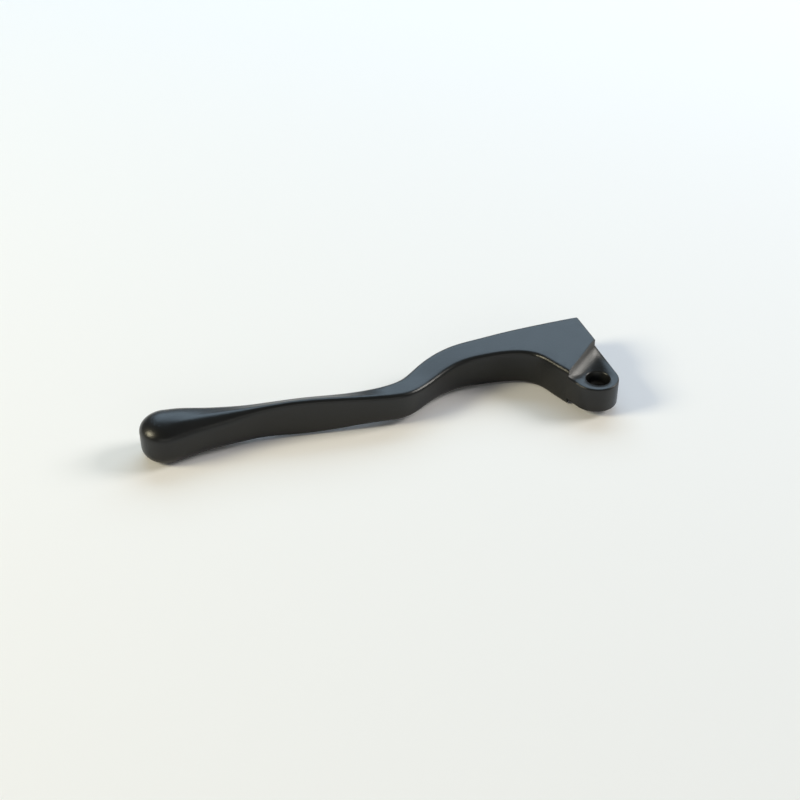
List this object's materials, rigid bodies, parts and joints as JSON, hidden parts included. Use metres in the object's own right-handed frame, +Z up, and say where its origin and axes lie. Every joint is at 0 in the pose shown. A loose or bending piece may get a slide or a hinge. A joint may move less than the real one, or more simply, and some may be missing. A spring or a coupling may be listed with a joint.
{
  "type": "clutch lever",
  "caption": "One-piece motorcycle clutch lever with a ball end, finger blade, bent neck and arched head, and a stepped boss with a pivot bore and a cable nipple bore.",
  "frame": {"origin": "middle of the pivot bore, on the lever's mid-plane", "axes": "+Z up the pivot bore, -X towards the ball end, +Y towards the finger side"},
  "size_m": [0.1605, 0.0443, 0.0144],
  "materials": {
    "satin_black": "satin black coating on cast aluminium"
  },
  "bodies": {
    "root": {"lever": "satin_black"}
  },
  "joints": []
}
